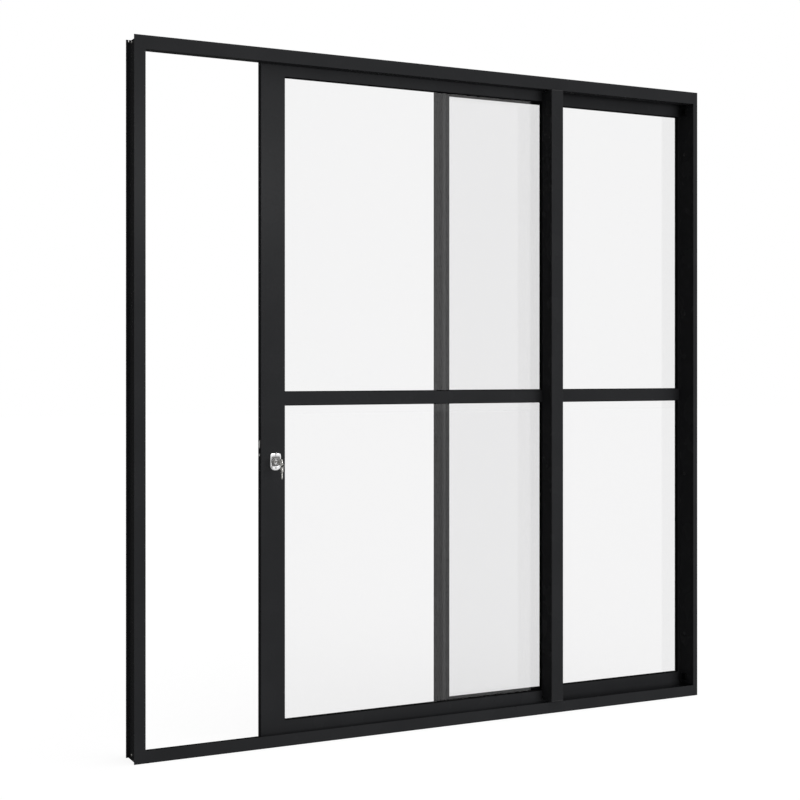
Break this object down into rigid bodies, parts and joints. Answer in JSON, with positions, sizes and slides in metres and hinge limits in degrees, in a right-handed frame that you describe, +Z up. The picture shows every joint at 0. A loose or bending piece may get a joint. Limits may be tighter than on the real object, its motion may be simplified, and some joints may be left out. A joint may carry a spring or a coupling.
{
  "type": "glass sliding patio door",
  "caption": "Aluminium framed glass patio door with a fixed rear panel and a lockable front panel that slides along a sill track.",
  "frame": {"origin": "the middle of the sill's bottom face", "axes": "+X along the door to the right, seen from the side with the lock; +Y from that side to the back; +Z up"},
  "size_m": [2.01, 0.134, 2.1],
  "materials": {
    "black_aluminium": "satin black powder coat",
    "clear_glass": "clear float glass, polished",
    "black_rubber": "matt extruded rubber",
    "pile": "woven pile",
    "chrome": "polished chrome plate",
    "steel": "nickel-plated steel",
    "black_plastic": "moulded nylon",
    "wheel_plastic": "moulded acetal"
  },
  "bodies": {
    "frame": {"head_track": "black_aluminium", "sill_track": "black_aluminium", "left_jamb": "black_aluminium", "right_jamb": "black_aluminium", "strike_plate": "steel", "lower_stop_buffer": "black_rubber", "upper_stop_buffer": "black_rubber", "head_pile_seal": "pile", "jamb_pile_seal": "pile", "interlock_pile_seal": "pile", "fixed_interlock_stile": "black_aluminium", "fixed_jamb_stile": "black_aluminium", "fixed_top_rail": "black_aluminium", "fixed_mid_rail": "black_aluminium", "fixed_bottom_rail": "black_aluminium", "fixed_lower_glass": "clear_glass", "fixed_upper_glass": "clear_glass", "fixed_lower_gasket": "black_rubber", "fixed_upper_gasket": "black_rubber"},
    "sliding_panel": {"front_escutcheon": "chrome", "hook_bolt": "steel", "left_roller": "wheel_plastic", "left_roller_carriage": "black_plastic", "left_top_guide": "black_plastic", "lock_case": "steel", "lock_cylinder": "chrome", "lock_faceplate": "black_aluminium", "lock_stile": "black_aluminium", "meeting_stile": "black_aluminium", "nose_bottom_cap": "black_plastic", "nose_top_cap": "black_plastic", "rear_escutcheon": "chrome", "right_roller": "wheel_plastic", "right_roller_carriage": "black_plastic", "right_top_guide": "black_plastic", "slam_button": "steel", "sliding_bottom_rail": "black_aluminium", "sliding_lower_gasket": "black_rubber", "sliding_lower_glass": "clear_glass", "sliding_mid_rail": "black_aluminium", "sliding_top_rail": "black_aluminium", "sliding_upper_gasket": "black_rubber", "sliding_upper_glass": "clear_glass"},
    "key": {"cylinder_plug": "chrome", "key": "steel", "key_ring": "steel", "spare_key": "steel"}
  },
  "joints": [
    {"name": "panel_slide", "type": "slide", "parent": "frame", "child": "sliding_panel", "axis": [1, 0, 0], "range_m": [-0.383, 0.538]},
    {"name": "key_turn", "type": "hinge", "parent": "sliding_panel", "child": "key", "pos_m": [-0.556, -0.016, 0.856], "axis": [0, -1, 0], "range_deg": [0, 90]}
  ]
}
